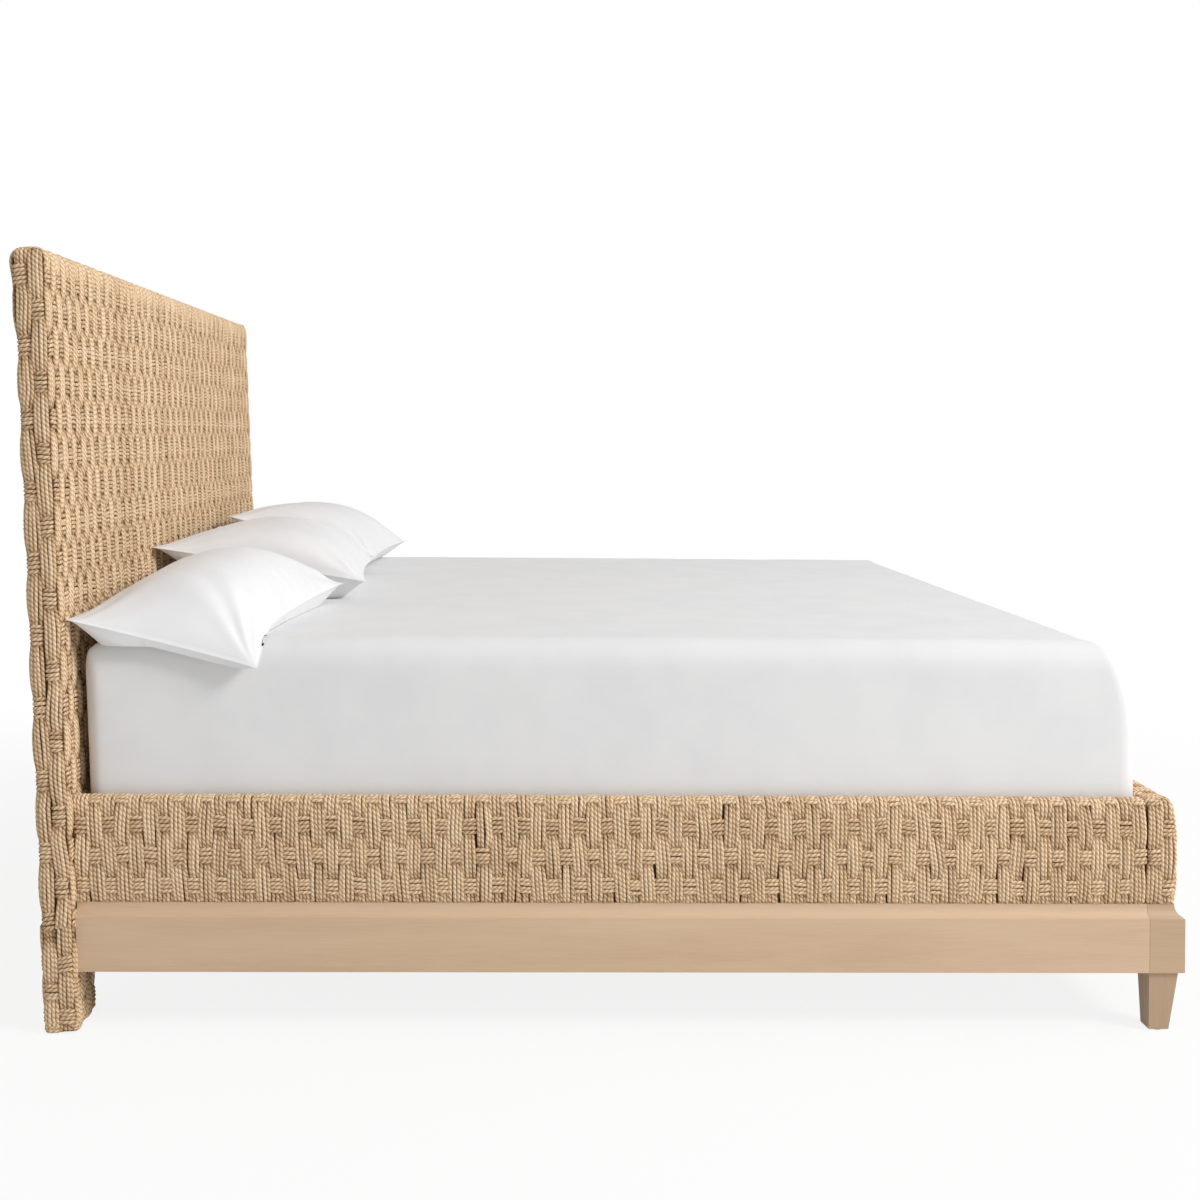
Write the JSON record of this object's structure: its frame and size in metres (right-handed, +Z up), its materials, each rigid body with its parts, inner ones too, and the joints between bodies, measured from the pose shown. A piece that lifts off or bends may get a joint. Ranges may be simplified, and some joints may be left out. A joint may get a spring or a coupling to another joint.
{
  "type": "wicker bed",
  "caption": "King bed with a raked rope-woven headboard, rope-woven rails over a coved wood plinth, tapered foot legs, slatted deck, mattress and pillows.",
  "frame": {"origin": "on the floor, under the centre of the bed's overall length and width", "axes": "+Z up, +Y towards the headboard, X across the bed"},
  "size_m": [2.06, 2.2464, 1.479],
  "materials": {
    "woven_rope": "matte",
    "washed_wood": "satin",
    "plywood": "matte",
    "frame_wood": "matte",
    "dowel_beech": "matte",
    "zinc_steel": "satin",
    "leveler_steel": "satin",
    "dark_nylon": "matte",
    "sheet_cotton": "matte",
    "pillowcase_cotton": "matte",
    "mattress_ticking": "matte"
  },
  "bodies": {
    "frame": {"beam_hangers": "zinc_steel", "bracket_bolts": "zinc_steel", "bracket_screws": "zinc_steel", "centre_beam": "frame_wood", "centre_leg_1": "frame_wood", "centre_leg_2": "frame_wood", "centre_leg_3": "frame_wood", "corner_block_left": "washed_wood", "corner_block_right": "washed_wood", "corner_dowels": "dowel_beech", "foot_brackets": "zinc_steel", "foot_glides": "dark_nylon", "foot_leg_left": "washed_wood", "foot_leg_right": "washed_wood", "foot_plinth": "washed_wood", "foot_rail": "frame_wood", "foot_weave": "woven_rope", "hanger_screws": "zinc_steel", "head_brackets": "zinc_steel", "headboard_back_panel": "plywood", "headboard_centre_stile": "frame_wood", "headboard_dowels": "dowel_beech", "headboard_front_panel": "plywood", "headboard_glides": "dark_nylon", "headboard_leg_wrap_left": "woven_rope", "headboard_leg_wrap_right": "woven_rope", "headboard_lower_rail": "frame_wood", "headboard_mid_rail": "frame_wood", "headboard_post_left": "frame_wood", "headboard_post_right": "frame_wood", "headboard_top_rail": "frame_wood", "headboard_weave": "woven_rope", "ledger_left": "frame_wood", "ledger_right": "frame_wood", "ledger_screws": "zinc_steel", "leg_hanger_bolts": "zinc_steel", "leg_plate_screws": "zinc_steel", "leg_plates": "zinc_steel", "leveler_inserts": "zinc_steel", "side_plinth_left": "washed_wood", "side_plinth_right": "washed_wood", "side_rail_left": "frame_wood", "side_rail_right": "frame_wood", "side_weave_left": "woven_rope", "side_weave_right": "woven_rope", "slat_screws": "zinc_steel", "slats": "frame_wood"},
    "mattress_body": {"mattress": "mattress_ticking", "fitted_sheet": "sheet_cotton"},
    "near_pillow": {"pillow_near": "pillowcase_cotton"},
    "middle_pillow": {"pillow_middle": "pillowcase_cotton"},
    "far_pillow": {"pillow_far": "pillowcase_cotton"},
    "foot_leveler": {"leveler_1": "leveler_steel"},
    "middle_leveler": {"leveler_2": "leveler_steel"},
    "head_leveler": {"leveler_3": "leveler_steel"}
  },
  "joints": [
    {"name": "mattress_lift", "type": "slide", "parent": "frame", "child": "mattress_body", "axis": [0, 0, 1], "range_m": [0, 0.35]},
    {"name": "near_pillow_lift", "type": "slide", "parent": "mattress_body", "child": "near_pillow", "axis": [0, 0, 1], "range_m": [0, 0.3]},
    {"name": "middle_pillow_lift", "type": "slide", "parent": "mattress_body", "child": "middle_pillow", "axis": [0, 0, 1], "range_m": [0, 0.3]},
    {"name": "far_pillow_lift", "type": "slide", "parent": "mattress_body", "child": "far_pillow", "axis": [0, 0, 1], "range_m": [0, 0.3]},
    {"name": "foot_leveler_screw", "type": "slide", "parent": "frame", "child": "foot_leveler", "axis": [0, 0, -1], "range_m": [0, 0.015]},
    {"name": "middle_leveler_screw", "type": "slide", "parent": "frame", "child": "middle_leveler", "axis": [0, 0, -1], "range_m": [0, 0.015]},
    {"name": "head_leveler_screw", "type": "slide", "parent": "frame", "child": "head_leveler", "axis": [0, 0, -1], "range_m": [0, 0.015]}
  ]
}
